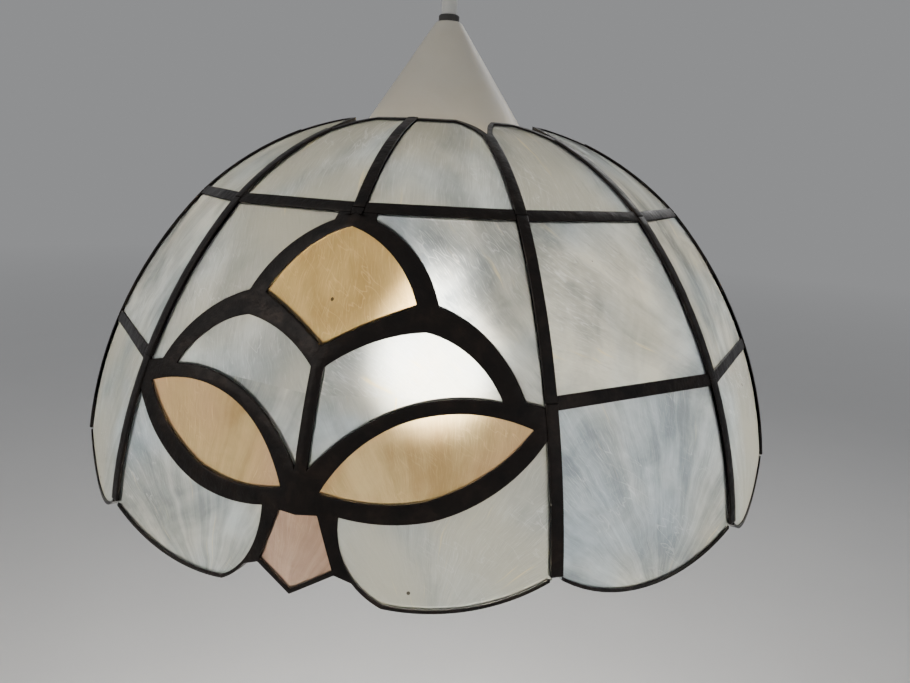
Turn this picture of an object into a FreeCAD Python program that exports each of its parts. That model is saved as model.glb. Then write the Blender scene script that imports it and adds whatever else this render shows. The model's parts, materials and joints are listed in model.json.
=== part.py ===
import FreeCAD, Part
import math
import os
import Sketcher

from FreeCAD import Placement, Rotation, Vector

# A leaded shell pendant lamp.  Origin: the ceiling face at the middle of the ceiling plate.
# +Z is up and -Y is the side of the first flower.  Heights in the sheet are counted from the
# plane of the shade's middle ring, which hangs ring_drop below the ceiling.

doc = FreeCAD.newDocument("ShellPendant")

# ------------------------------------------------------------------ driving dimensions (mm)
SIZES = [
    ("ring_drop", 240, "ceiling face down to the middle ring"),
    ("facet_count", 12, "flat sides of the shade"),
    ("ring_radius", 160, "corner radius at the middle ring"),
    ("upper_radius", 119.2, "corner radius at the upper ring"),
    ("upper_height", 61.6, "height of the upper ring"),
    ("valley_radius", 176.3, "corner radius at the lower edge's valleys"),
    ("valley_depth", 57.6, "depth of the lower edge's valleys"),
    ("scallop_depth", 72.2, "depth of the lower edge's scallops"),
    ("shoulder_radius", 88, "a point of the crown's curve"),
    ("shoulder_height", 84.8, "its height"),
    ("crown_radius", 54, "radius of the crown opening"),
    ("crown_height", 98.6, "height of the crown's rim"),
    ("notch_radius", 74, "corner radius at the crown's notches"),
    ("notch_shoulder", 14, "width of the sloping shoulder beside a notch"),
    ("shell_sheet", 1.2, "thickness of the shell panels"),
    ("came_depth", 3.2, "depth of the came, outside to inside"),
    ("edging_depth", 2.6, "depth of the edging"),
    ("rib_width", 4.8, "face width of the rib came"),
    ("ring_width", 5.2, "face width of the ring came"),
    ("edging_width", 2.3, "face width of the crown's edging"),
    ("hem_width", 1.3, "face width of the edging along the lower edge"),
    ("flange_lap", 1.0, "how far a panel sits under the came's flange"),
    ("hub_height", 56, "top of the spider's hub"),
    ("hub_sheet", 2, "thickness of the hub"),
    ("hub_radius", 27, "outer radius of the hub"),
    ("hub_hole", 19.9, "hole in the hub for the lampholder's skirt"),
    ("arm_sheet", 1.8, "thickness of the spider's arms"),
    ("arm_width", 6, "width of the spider's arms"),
    ("skirt_radius", 19.8, "thread radius of the lampholder's skirt"),
    ("skirt_bore", 14.3, "bore of the lampholder's skirt"),
    ("skirt_length", 24, "skirt below the flange"),
    ("flange_radius", 24, "lampholder's flange"),
    ("flange_sheet", 4, "flange thickness"),
    ("holder_radius", 20.5, "lampholder's upper body"),
    ("holder_height", 20, "upper body above the hub, with the flange"),
    ("holder_wall", 3, "wall of the upper body"),
    ("ledge_height", 6, "ledge for the contact insert, above the hub"),
    ("insert_height", 6, "height of the contact insert"),
    ("cap_height", 20, "height of the lampholder's cap"),
    ("grip_height", 10, "height of the cord grip"),
    ("cord_radius", 3.85, "cord"),
    ("cord_entry", 37, "lower end of the cord above the hub"),
    ("cap_hole", 4.05, "hole in the cap for the cord"),
    ("ring_nut_radius", 27, "outer radius of the shade ring"),
    ("ring_nut_height", 7, "height of the shade ring"),
    ("ring_nut_fit", 0.08, "radial clearance of the shade ring on the skirt"),
    ("running_gap", 0.3, "gap between bodies that move"),
    ("bulb_cap_radius", 13.2, "outer radius of the bulb's cap"),
    ("bulb_radius", 32.5, "largest radius of the bulb's glass"),
    ("bulb_length", 125, "tip of the contact to the bottom of the glass"),
    ("cone_base_radius", 50, "cone cover's base"),
    ("cone_top_radius", 6, "cone cover's top"),
    ("cone_base_height", 83.9, "base of the cone cover"),
    ("cone_height", 66.1, "height of the cone cover"),
    ("cone_wall", 1.6, "wall of the cone cover and the ceiling cup"),
    ("grommet_radius", 5.2, "outer radius of the grommet"),
    ("grommet_bore", 4.15, "bore of the grommet"),
    ("cup_radius", 48, "ceiling cup at the ceiling"),
    ("cup_band", 14, "height of the cup's straight band"),
    ("cup_floor_radius", 16, "ceiling cup at its floor"),
    ("cup_height", 55, "height of the ceiling cup"),
    ("cup_outlet", 9, "radius of the cord's outlet"),
    ("plate_radius", 46, "ceiling plate"),
    ("plate_sheet", 2, "thickness of the ceiling plate"),
    ("plate_pitch", 50, "spacing of the two screw holes"),
    ("plate_hole", 2.5, "radius of the screw holes"),
    ("pivot_depth", 31, "swing axis below the ceiling"),
    ("bail_radius", 2, "wire of the bail"),
    ("bail_half_width", 9, "half the width of the bail"),
    ("eye_fit", 0.08, "radial clearance of the hanger's eye on the bail"),
]

sheet = doc.addObject("Spreadsheet::Sheet", "Sizes")
for row, (alias, value, note) in enumerate(SIZES, start=1):
    sheet.set(f"A{row}", note)
    sheet.set(f"B{row}", str(value))
    sheet.setAlias(f"B{row}", alias)
doc.recompute()


def size(alias):
    """The value of one cell, in millimetres."""
    return float(sheet.get(alias))


DROP = size("ring_drop")
HALF_TURN = 180.0 / size("facet_count")
COS_HALF = math.cos(math.radians(HALF_TURN))
TAN_HALF = math.tan(math.radians(HALF_TURN))
SIN_HALF = math.sin(math.radians(HALF_TURN))
REACH = 260.0                       # longer than any part of the shade
X_AXIS, Y_AXIS, Z_AXIS = Vector(1, 0, 0), Vector(0, 1, 0), Vector(0, 0, 1)

parts = []


def feature(label, shape, height=0.0):
    """A sub-part whose shape is built here; its Placement lifts it to its height."""
    piece = doc.addObject("Part::Feature", label)
    piece.Label = label
    piece.Shape = shape
    piece.Placement = Placement(Vector(0, 0, height), Rotation())
    parts.append(piece)
    return piece


# ------------------------------------------------------------------ the shade's curve
class Curve:
    """A circular arc through three points (distance from the axis, height)."""

    def __init__(self, first, second, third):
        (ax, ay), (bx, by), (cx, cy) = first, second, third
        det = 2 * (ax * (by - cy) + bx * (cy - ay) + cx * (ay - by))
        a2, b2, c2 = ax * ax + ay * ay, bx * bx + by * by, cx * cx + cy * cy
        self.x = (a2 * (by - cy) + b2 * (cy - ay) + c2 * (ay - by)) / det
        self.y = (a2 * (cx - bx) + b2 * (ax - cx) + c2 * (bx - ax)) / det
        self.radius = math.hypot(ax - self.x, ay - self.y)

    def angle_at_height(self, height):
        return math.asin((height - self.y) / self.radius)

    def angle_at_radius(self, radius):
        return math.acos((radius - self.x) / self.radius)

    def distance_at_height(self, height):
        return self.x + self.radius * math.cos(self.angle_at_height(height))

    def point(self, angle, offset=0.0):
        """A point of the curve, offset outwards, in the plane x = 0 with -Y outwards."""
        reach = self.radius + offset
        return Vector(0, -(self.x + reach * math.cos(angle)), self.y + reach * math.sin(angle))

    def band(self, low, high, depth, half_length, shift=0.0):
        """The sheet between two angles, as thick as depth, straight along X."""
        outer, inner, middle = shift + depth / 2, shift - depth / 2, (low + high) / 2
        edges = [
            Part.Arc(self.point(low, outer), self.point(middle, outer), self.point(high, outer)).toShape(),
            Part.LineSegment(self.point(high, outer), self.point(high, inner)).toShape(),
            Part.Arc(self.point(high, inner), self.point(middle, inner), self.point(low, inner)).toShape(),
            Part.LineSegment(self.point(low, inner), self.point(low, outer)).toShape(),
        ]
        face = Part.Face(Part.Wire(edges))
        face.translate(Vector(-half_length, 0, 0))
        return face.extrude(X_AXIS * (2 * half_length))


def curves(scale):
    """The lower and the upper curve; scale 1 is a rib, cos of half a facet is its middle."""
    lower = Curve((size("valley_radius") * scale, -size("valley_depth")),
                  (size("ring_radius") * scale, 0),
                  (size("upper_radius") * scale, size("upper_height")))
    upper = Curve((size("upper_radius") * scale, size("upper_height")),
                  (size("shoulder_radius") * scale, size("shoulder_height")),
                  (size("crown_radius") * scale, size("crown_height")))
    return lower, upper


FACET_LOW, FACET_TOP = curves(COS_HALF)
RIB_LOW, RIB_TOP = curves(1.0)
VALLEY_X = size("valley_radius") * SIN_HALF       # half a facet's width at the valleys
FACET_HALF = VALLEY_X + 4
NOTCH_FAR = size("notch_radius") * COS_HALF       # from the axis to the line between two notches


def steps(curve, length):
    """The angle that a length along the curve takes."""
    return length / curve.radius


# ------------------------------------------------------------------ cutting shapes
def sector(left_inset, right_inset):
    """The upright wedge of one facet, its two sides moved in by the insets."""
    apex_x = (left_inset - right_inset) / 2 / COS_HALF
    apex_y = -(left_inset + right_inset) / 2 / SIN_HALF
    far_x = REACH * TAN_HALF
    points = [Vector(apex_x, apex_y, -REACH), Vector(far_x - right_inset / COS_HALF, -REACH, -REACH),
              Vector(left_inset / COS_HALF - far_x, -REACH, -REACH)]
    face = Part.Face(Part.makePolygon(points + points[:1]))
    return face.extrude(Z_AXIS * (2 * REACH))


def edge_chain(steps_2d, to_vector, closed=True):
    """Edges from a list of points: a pair is a corner, ("arc", mid, end) bends to its end."""
    edges, here = [], steps_2d[0]
    for step in steps_2d[1:]:
        if step[0] == "arc":
            edges.append(Part.Arc(to_vector(here), to_vector(step[1]), to_vector(step[2])).toShape())
            here = step[2]
        else:
            edges.append(Part.LineSegment(to_vector(here), to_vector(step)).toShape())
            here = step
    if closed and to_vector(here).distanceToPoint(to_vector(steps_2d[0])) > 1e-6:
        edges.append(Part.LineSegment(to_vector(here), to_vector(steps_2d[0])).toShape())
    return edges


def side_prism(outline, grow=0.0):
    """An outline in (x, height), seen square to the facet, pushed through the facet."""
    wire = Part.Wire(edge_chain(outline, lambda p: Vector(p[0], 0, p[1])))
    if grow:
        wire = wire.makeOffset2D(grow, 2)
    return Part.Face(wire).extrude(Vector(0, -REACH, 0))


def plan_prism(outline):
    """An outline in (x, distance from the axis), seen from above, pushed through the facet."""
    wire = Part.Wire(edge_chain(outline, lambda p: Vector(p[0], -p[1], 0)))
    return Part.Face(wire).extrude(Z_AXIS * REACH)


def scallop(inset):
    """The lower edge's scallop: everything above its arc, moved up by the inset."""
    valley_z, lowest = inset - size("valley_depth"), inset - size("scallop_depth")
    return [(-VALLEY_X, valley_z), ("arc", (0, lowest), (VALLEY_X, valley_z)),
            (REACH, valley_z), (REACH, REACH), (-REACH, REACH), (-REACH, valley_z)]


def crown_tongue(inset, right_notch=True, left_notch=True):
    """A panel's end at the crown, seen from above, moved in by the inset.

    It slopes down to a notch beside a rib, and runs straight on where there is no notch.
    """
    notch_far, notch_x = NOTCH_FAR, size("notch_radius") * SIN_HALF
    near = size("crown_radius") * COS_HALF
    shoulder, lift = size("notch_shoulder"), inset * math.sqrt(0.5)
    bulge = (notch_x - 0.32 * shoulder - lift, near + 0.58 * (notch_far - near) + lift)
    foot_x = notch_x - inset / COS_HALF
    right_end = (notch_x - shoulder, near + inset) if right_notch else (REACH, near + inset)
    left_end = (shoulder - notch_x, near + inset) if left_notch else (-REACH, near + inset)
    outline = [left_end, right_end]
    if right_notch:
        outline += [("arc", bulge, (foot_x, notch_far)), (REACH, notch_far)]
    outline += [(REACH, REACH), (-REACH, REACH)]
    if left_notch:
        outline += [(-REACH, notch_far), (-foot_x, notch_far), ("arc", (-bulge[0], bulge[1]), left_end)]
    return outline


def meet(*shapes):
    """What all the shapes share."""
    result = shapes[0]
    for other in shapes[1:]:
        result = result.common(other)
    return result


def solids_of(shape):
    return [solid for solid in shape.Solids if solid.Volume > 0.5]


def turned(shapes, degrees):
    """Copies turned about the lamp's axis."""
    copies = []
    for shape in shapes:
        copy = shape.copy()
        copy.rotate(Vector(0, 0, 0), Z_AXIS, degrees)
        copies.append(copy)
    return copies


def mirrored(shapes):
    return [shape.mirror(Vector(0, 0, 0), X_AXIS) for shape in shapes]


# ------------------------------------------------------------------ one facet of the shade
HALF_RIB = size("rib_width") / 2
HALF_RING = size("ring_width") / 2
LAP = size("flange_lap")
SHEET, CAME, HEM = size("shell_sheet"), size("came_depth"), size("hem_width")
ANGLE_RING = FACET_LOW.angle_at_height(0)
ANGLE_UPPER = FACET_LOW.angle_at_height(size("upper_height"))
ANGLE_UPPER_TOP = FACET_TOP.angle_at_height(size("upper_height"))
ANGLE_BOTTOM = FACET_LOW.angle_at_height(-size("scallop_depth") - 4)
ANGLE_CROWN = FACET_TOP.angle_at_radius(size("crown_radius") * COS_HALF - 6)


def low_band(low, high, depth):
    return FACET_LOW.band(low, high, depth, FACET_HALF)


def top_band(low, high, depth):
    return FACET_TOP.band(low, high, depth, FACET_HALF)


def crown_panel(right_notch, left_notch):
    sheet_band = top_band(ANGLE_UPPER_TOP + steps(FACET_TOP, HALF_RING - LAP), ANGLE_CROWN, SHEET)
    return meet(sheet_band, WEDGE,
                plan_prism(crown_tongue(size("edging_width") - LAP, right_notch, left_notch)))


def crown_edge(panel, right_notch, left_notch):
    """The thin edging round a crown panel's rounded end."""
    width = size("edging_width")
    band = top_band(ANGLE_UPPER_TOP, ANGLE_CROWN, size("edging_depth"))
    outer = meet(band, INSIDE_NOTCHES, plan_prism(crown_tongue(0, right_notch, left_notch)))
    return outer.cut(plan_prism(crown_tongue(width, right_notch, left_notch))).cut(panel)


def upper_ring(*panels):
    """One straight length of the upper ring: a flat bar along the facet."""
    centre = Vector(0, -size("upper_radius") * COS_HALF, size("upper_height"))
    tilt = (ANGLE_UPPER + ANGLE_UPPER_TOP) / 2
    out = Vector(0, -math.cos(tilt), math.sin(tilt))
    along = Vector(0, math.sin(tilt), math.cos(tilt))
    corners = [centre + along * (a * HALF_RING) + out * (o * CAME / 2)
               for a, o in ((-1, -1), (1, -1), (1, 1), (-1, 1))]
    face = Part.Face(Part.makePolygon(corners + corners[:1]))
    face.translate(Vector(-FACET_HALF, 0, 0))
    bar = face.extrude(X_AXIS * (2 * FACET_HALF))
    bar = meet(bar, sector(HALF_RIB, HALF_RIB))
    for panel in panels:
        bar = bar.cut(panel)
    return bar


PANEL_INSET = HALF_RIB - LAP
WEDGE = sector(PANEL_INSET, PANEL_INSET)
CAME_WEDGE = sector(HALF_RIB, HALF_RIB)
INSIDE_NOTCHES = sector(0, 0).common(plan_prism([(-REACH, 0), (REACH, 0), (REACH, NOTCH_FAR),
                                                 (-REACH, NOTCH_FAR)]))
BACKING = low_band(ANGLE_BOTTOM, ANGLE_UPPER - steps(FACET_LOW, HALF_RING), CAME)

# plain facet: three panels between two ribs
plain_top = crown_panel(True, True)
plain_edge = crown_edge(plain_top, True, True)
plain_middle = meet(low_band(ANGLE_RING + steps(FACET_LOW, HALF_RING - LAP),
                             ANGLE_UPPER - steps(FACET_LOW, HALF_RING - LAP), SHEET), WEDGE)
plain_lower = meet(low_band(ANGLE_BOTTOM, ANGLE_RING - steps(FACET_LOW, HALF_RING - LAP), SHEET),
                   WEDGE, side_prism(scallop(HEM - LAP)))
plain_upper_ring = upper_ring(plain_top, plain_middle)
plain_ring = meet(low_band(ANGLE_RING - steps(FACET_LOW, HALF_RING),
                           ANGLE_RING + steps(FACET_LOW, HALF_RING), CAME),
                  CAME_WEDGE).cut(plain_middle).cut(plain_lower)
plain_scallop = meet(low_band(ANGLE_BOTTOM, ANGLE_RING - steps(FACET_LOW, 20), size("edging_depth")),
                     CAME_WEDGE, side_prism(scallop(0)))
plain_scallop = plain_scallop.cut(side_prism(scallop(HEM))).cut(plain_lower)

# flower facet: the half of a lotus to the right of its rib, as outlines in (x, height).
# Only what lies between the facet's two ribs is kept, so outer points may run past them.
BACKGROUND = [(-23.5, 75), (-23.5, 57.6), ("arc", (-8.5, 47.3), (1, 30)),
              ("arc", (19.6, 19.4), (32.8, 0.5)), (60, -5), (60, 75)]
TOP_PETAL = [(-60, 56), (-33, 55.8), ("arc", (-17.3, 46.8), (-7, 30)),
             ("arc", (-22.8, 24.0), (-41, 15.2)), (-60, 8)]
SIDE_PETAL = [(-60, -8), (-42, 6.2), ("arc", (-22.5, 17.4), (-3, 21.6)),
              ("arc", (12.9, 14.6), (24.8, 0)), ("arc", (-8, -2.4), (-45, -28)), (-60, -36)]
LEAF = [(-37.2, -31.4), ("arc", (-23.5, -15.5), (-3.5, -5.9)), ("arc", (15, -4.0), (35.8, -8.2)),
        ("arc", (20.5, -22.6), (0, -32.8)), ("arc", (-18, -34.6), (-37.2, -31.4))]
BUD = [(-60, -38.6), (-37.6, -38.9), (-31.8, -58.0), (-60, -71.5)]
LOWER_PANEL = [(-30.3, -39.2), ("arc", (-14, -41.2), (2.2, -39.4)),
               ("arc", (24.6, -28.2), (41.5, -10)), (60, 5)]
FLOWER_FOOT = [(-60, -72.9), (-31.2, -59.3)]
CORNER_X, CORNER_BULGE = -14.0, (-26.6, -57.2)


def arc_height(x, inset):
    """Height of the scallop's arc at x."""
    rise = size("scallop_depth") - size("valley_depth")
    radius = (VALLEY_X ** 2 + rise ** 2) / (2 * rise)
    return inset - size("scallop_depth") + radius - math.sqrt(radius ** 2 - x ** 2)


def lower_flower_panel(inset):
    """The pane under a leaf, which ends in the scallop and curves up beside the bud."""
    middle_x = (VALLEY_X + CORNER_X) / 2
    return LOWER_PANEL + [
        (60, arc_height(VALLEY_X, inset)), (VALLEY_X, arc_height(VALLEY_X, inset)),
        ("arc", (middle_x, arc_height(middle_x, inset)), (CORNER_X, arc_height(CORNER_X, inset))),
        ("arc", CORNER_BULGE, LOWER_PANEL[0])]


def flower_foot():
    """The came's outer edge: under the bud, round the pane's corner, along the scallop."""
    corner = Curve((CORNER_X, arc_height(CORNER_X, HEM)), CORNER_BULGE, LOWER_PANEL[0])
    outer = corner.radius + HEM

    def on_corner(x):
        return (x, corner.y - math.sqrt(outer ** 2 - (x - corner.x) ** 2))

    start_x = CORNER_BULGE[0] + 1.5
    end_x = CORNER_X - 0.5 * HEM
    middle_x = (end_x + VALLEY_X) / 2
    return FLOWER_FOOT + [
        on_corner(start_x), ("arc", on_corner((start_x + end_x) / 2), (end_x, arc_height(end_x, 0))),
        ("arc", (middle_x, arc_height(middle_x, 0)), (VALLEY_X, arc_height(VALLEY_X, 0))),
        (60, -size("valley_depth")), (60, 80), (-60, 80)]


LOW_SHEET = low_band(ANGLE_BOTTOM, ANGLE_UPPER - steps(FACET_LOW, HALF_RING - LAP), SHEET)


def flower_pane(outline, crosses_rib, grow=LAP):
    """A pane of the flower: on its own facet, or up to the rib's plane when it crosses it."""
    return meet(LOW_SHEET, sector(0 if crosses_rib else PANEL_INSET, PANEL_INSET),
                side_prism(outline, grow))


VISIBLE = {
    "background": (BACKGROUND, False), "top_petal": (TOP_PETAL, True),
    "side_petal": (SIDE_PETAL, False), "leaf": (LEAF, False), "bud": (BUD, True),
    "lower_panel": (lower_flower_panel(HEM), False),
}
panes = {name: flower_pane(outline, crosses) for name, (outline, crosses) in VISIBLE.items()}
flower_top = crown_panel(True, False)
flower_edge = crown_edge(flower_top, True, False)
flower_upper_ring = upper_ring(flower_top, panes["background"])

# the flower's came is all that is left between its panes
web = meet(BACKING, sector(0, HALF_RIB), side_prism(flower_foot()))
for name, (outline, crosses) in VISIBLE.items():
    opening = side_prism(outline)
    if not crosses:
        opening = opening.common(sector(HALF_RIB, -10))
    web = web.cut(opening)
for pane in panes.values():
    web = web.cut(pane)

# ------------------------------------------------------------------ the ribs
def rib_bar(curve, low, high):
    return curve.band(low, high, CAME, HALF_RIB)


rib_valley = RIB_LOW.angle_at_height(0.3 - size("valley_depth"))
rib_ring = RIB_LOW.angle_at_height(0)
rib_upper = RIB_LOW.angle_at_height(size("upper_height"))
rib_under_ring = rib_upper - steps(RIB_LOW, HALF_RING + 1)
rib_upper_top = RIB_TOP.angle_at_height(size("upper_height"))
rib_past_notch = RIB_TOP.angle_at_radius(size("notch_radius") - 2)
rib_crown = RIB_TOP.angle_at_radius(size("crown_radius") + 0.2)

# ------------------------------------------------------------------ the shade put together
FLOWER_TURNS = (0, 120, 240)
FACET_STEP = 360.0 / size("facet_count")
HALF_STEP = FACET_STEP / 2
TRIM = 0.1                                        # so that two ribs' ends never overlap

groups = {"crown_panels": [], "middle_panels": [], "lower_panels": [], "crown_edging": [],
          "scallop_edging": [], "upper_ring_came": [], "middle_ring_came": []}
for flower, turn in enumerate(FLOWER_TURNS, start=1):
    right, left = turn + HALF_STEP, turn - HALF_STEP
    for name, shape in (("crown_panels", flower_top), ("crown_edging", flower_edge),
                        ("upper_ring_came", flower_upper_ring)):
        groups[name] += turned(solids_of(shape), right)
        groups[name] += turned(mirrored(solids_of(shape)), left)
    for side in (1, 2):
        plain = turn + HALF_STEP + side * FACET_STEP
        for name, shape in (("crown_panels", plain_top), ("middle_panels", plain_middle),
                            ("lower_panels", plain_lower), ("crown_edging", plain_edge),
                            ("scallop_edging", plain_scallop), ("upper_ring_came", plain_upper_ring),
                            ("middle_ring_came", plain_ring)):
            groups[name] += turned(solids_of(shape), plain)

flower_nodes = {}
for flower, turn in enumerate(FLOWER_TURNS, start=1):
    halves = {}
    for name, shape in list(panes.items()) + [("came", web)]:
        right_half = turned(solids_of(shape), turn + HALF_STEP)
        left_half = turned(mirrored(solids_of(shape)), turn - HALF_STEP)
        halves[name] = (right_half, left_half)
    for name, label in (("top_petal", "top_petal"), ("bud", "bud"), ("came", "came")):
        right_half, left_half = halves[name]
        whole = right_half[0].fuse(left_half[0]).removeSplitter()
        flower_nodes[f"flower_{flower}_{label}"] = solids_of(whole)
    for name, label in (("side_petal", "side_petals"), ("leaf", "leaves"),
                        ("background", "background"), ("lower_panel", "lower_panels")):
        right_half, left_half = halves[name]
        flower_nodes[f"flower_{flower}_{label}"] = right_half + left_half

panels = groups["crown_panels"] + groups["middle_panels"] + groups["lower_panels"]
for label, shapes in flower_nodes.items():
    if not label.endswith("came"):
        panels = panels + shapes
edging = groups["crown_edging"] + groups["scallop_edging"]


def cleared(bar, others):
    """A bar with every neighbour that reaches into it cut away."""
    for other in others:
        if bar.BoundBox.intersect(other.BoundBox):
            bar = bar.cut(other)
    return solids_of(bar)


rib_shapes = []
for index in range(int(size("facet_count"))):
    turn = index * FACET_STEP
    if turn in FLOWER_TURNS:
        bars = [rib_bar(RIB_LOW, rib_under_ring, rib_upper - steps(RIB_LOW, TRIM)),
                rib_bar(RIB_TOP, rib_upper_top + steps(RIB_TOP, TRIM), rib_crown)]
    else:
        top_bar = rib_bar(RIB_TOP, rib_upper_top + steps(RIB_TOP, TRIM), rib_past_notch)
        for inside in turned([INSIDE_NOTCHES], HALF_STEP) + turned([INSIDE_NOTCHES], -HALF_STEP):
            top_bar = top_bar.cut(inside)
        bars = [rib_bar(RIB_LOW, rib_valley, rib_ring),
                rib_bar(RIB_LOW, rib_ring, rib_upper - steps(RIB_LOW, TRIM)), top_bar]
    for bar in turned(bars, turn):
        rib_shapes += cleared(bar, panels + edging)

# above a flower the rib starts at the flower's came
flower_webs = [shape for label, shapes in flower_nodes.items() if label.endswith("came")
               for shape in shapes]
rib_shapes = [piece for rib in rib_shapes for piece in cleared(rib, flower_webs)]

for label, shapes in groups.items():
    feature(label, Part.makeCompound(shapes), -DROP)
for label, shapes in flower_nodes.items():
    feature(label, Part.makeCompound(shapes), -DROP)
feature("rib_came", Part.makeCompound(rib_shapes), -DROP)

# ------------------------------------------------------------------ the spider
ARM_TURNS = (60, 180, 300)
HUB_TOP = size("hub_height")
FOOT_NEAR, FOOT_FAR = 74.0, 88.0                  # where an arm's foot begins and ends
ARM_BENDS = [(44.0, 80.6), (50.0, 82.4)]          # (distance from the axis, height)
BEDDING = 0.4                                     # depth of a foot in the came, then cut to it


def spider_arm():
    """A formed strip from the hub up to a foot that lies under a rib."""
    half, thick = size("arm_width") / 2, size("arm_sheet")
    shift = BEDDING - (CAME / 2 + thick / 2)
    near_angle = RIB_TOP.angle_at_radius(FOOT_NEAR)
    foot = RIB_TOP.band(RIB_TOP.angle_at_radius(FOOT_FAR), near_angle, thick, half, shift)
    foot_start = RIB_TOP.point(near_angle, shift)
    hub_edge, level = size("hub_radius"), HUB_TOP - thick / 2
    route = [(hub_edge - 2, level), (hub_edge + 3, level)] + ARM_BENDS + [(-foot_start.y, foot_start.z)]
    top, bottom = [], []
    for index, (reach, height) in enumerate(route):
        before, after = route[max(index - 1, 0)], route[min(index + 1, len(route) - 1)]
        slope = math.atan2(after[1] - before[1], after[0] - before[0])
        dx, dz = -math.sin(slope) * thick / 2, math.cos(slope) * thick / 2
        top.append(Vector(-half, -(reach + dx), height + dz))
        bottom.append(Vector(-half, -(reach - dx), height - dz))
    outline = top + bottom[::-1]
    strip = Part.Face(Part.makePolygon(outline + outline[:1])).extrude(X_AXIS * (2 * half))
    return strip.fuse(foot)


hub = Part.makeCylinder(size("hub_radius"), size("hub_sheet"), Vector(0, 0, HUB_TOP - size("hub_sheet")))
spider_shape = hub.fuse([arm for turn in ARM_TURNS for arm in turned([spider_arm()], turn)])
spider_shape = spider_shape.cut(Part.makeCylinder(size("hub_hole"), 30, Vector(0, 0, HUB_TOP - 15)))
for other in rib_shapes + groups["crown_panels"]:
    if spider_shape.BoundBox.intersect(other.BoundBox):
        spider_shape = spider_shape.cut(other)
feature("spider", spider_shape.removeSplitter(), -DROP)

# ------------------------------------------------------------------ parametric helpers
ALIASES = [alias for alias, value, note in SIZES]


def bound_text(expression):
    """An expression written with the sheet's aliases, as another object refers to them."""
    words = []
    for word in expression.replace("(", " ( ").replace(")", " ) ").split():
        words.append("Sizes." + word if word in ALIASES else word)
    return " ".join(words)


def bind(target, prop, expression):
    target.setExpression(prop, bound_text(expression))


def value_of(expression):
    return float(sheet.evalExpression(expression))


def raise_to(piece, height):
    """Bind a piece's height above the middle ring."""
    bind(piece, "Placement.Base.z", f"( {height} ) - ring_drop")


def origin_plane(body, role):
    return next(item for item in body.Origin.OriginFeatures if item.Role == role)


def new_sketch(body, name, role):
    sketch = body.newObject("Sketcher::SketchObject", name)
    sketch.AttachmentSupport = [(origin_plane(body, role), "")]
    sketch.MapMode = "FlatFace"
    return sketch


def pin_point(sketch, edge, end, x_text, y_text):
    """Hold an edge's end at two expressions; a zero puts it on the axis."""
    for text, kind, axis in ((x_text, "DistanceX", -2), (y_text, "DistanceY", -1)):
        value = value_of(text)
        if abs(value) < 1e-9:
            sketch.addConstraint(Sketcher.Constraint("PointOnObject", edge, end, axis))
        else:
            index = sketch.addConstraint(Sketcher.Constraint(kind, -1, 1, edge, end, value))
            bind(sketch, f"Constraints[{index}]", text)


def revolved(label, height, outline):
    """A turned piece: a closed outline of (radius, height) expressions spun about Z."""
    body = doc.addObject("PartDesign::Body", label)
    body.Label = label
    sketch = new_sketch(body, label + "_outline", "XZ_Plane")
    corners = [Vector(value_of(r), value_of(z), 0) for r, z in outline]
    count = len(corners)
    for index in range(count):
        sketch.addGeometry(Part.LineSegment(corners[index], corners[(index + 1) % count]), False)
    for index in range(count):
        sketch.addConstraint(Sketcher.Constraint("Coincident", index, 2, (index + 1) % count, 1))
    for index, (r, z) in enumerate(outline):
        pin_point(sketch, index, 1, r, z)
    spin = body.newObject("PartDesign::Revolution", label + "_spin")
    spin.Profile = sketch
    spin.ReferenceAxis = (sketch, ["V_Axis"])
    spin.Angle = 360.0
    raise_to(body, height)
    body.Tip = spin
    return body


def cylinder(label, radius, length, height, x="0", y="0", turn=None):
    """A Part::Cylinder that starts at a height above the middle ring; turn lays it on its side."""
    piece = doc.addObject("Part::Cylinder", label)
    piece.Label = label
    bind(piece, "Radius", radius)
    bind(piece, "Height", length)
    if turn is not None:
        piece.Placement = Placement(Vector(0, 0, 0), turn)
    bind(piece, "Placement.Base.x", x)
    bind(piece, "Placement.Base.y", y)
    raise_to(piece, height)
    return piece


def block(label, length, width, tall, height, x, y="0"):
    """A Part::Box centred on x and y, standing at a height above the middle ring."""
    piece = doc.addObject("Part::Box", label)
    piece.Label = label
    bind(piece, "Length", length)
    bind(piece, "Width", width)
    bind(piece, "Height", tall)
    bind(piece, "Placement.Base.x", f"{x} - ( {length} ) / 2")
    bind(piece, "Placement.Base.y", f"{y} - ( {width} ) / 2")
    raise_to(piece, height)
    return piece


def fused(label, pieces):
    piece = doc.addObject("Part::MultiFuse", label)
    piece.Label = label
    piece.Shapes = pieces
    return piece


def cut(label, base, tool):
    piece = doc.addObject("Part::Cut", label)
    piece.Label = label
    piece.Base = base
    piece.Tool = tool
    return piece


# ------------------------------------------------------------------ the lampholder
parts.append(revolved("holder_body", "hub_height - skirt_length", [
    ("skirt_bore", "0"), ("skirt_radius", "0"), ("skirt_radius", "skirt_length"),
    ("flange_radius", "skirt_length"), ("flange_radius", "skirt_length + flange_sheet"),
    ("holder_radius", "skirt_length + flange_sheet"), ("holder_radius", "skirt_length + holder_height"),
    ("holder_radius - holder_wall", "skirt_length + holder_height"),
    ("holder_radius - holder_wall", "skirt_length + ledge_height"),
    ("skirt_bore", "skirt_length + ledge_height")]))
parts.append(revolved("holder_cap", "hub_height + holder_height", [
    ("holder_radius", "0"), ("holder_radius", "3"), ("holder_radius - 3.5", "cap_height * 0.6"),
    ("grip_height", "cap_height"), ("cap_hole", "cap_height"), ("cap_hole", "cap_height - 2"),
    ("grip_height - 1", "cap_height - 2"), ("holder_radius - 5.3", "cap_height * 0.6 - 0.8"),
    ("holder_radius - 2", "2.6"), ("holder_radius - 2", "0")]))
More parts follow.
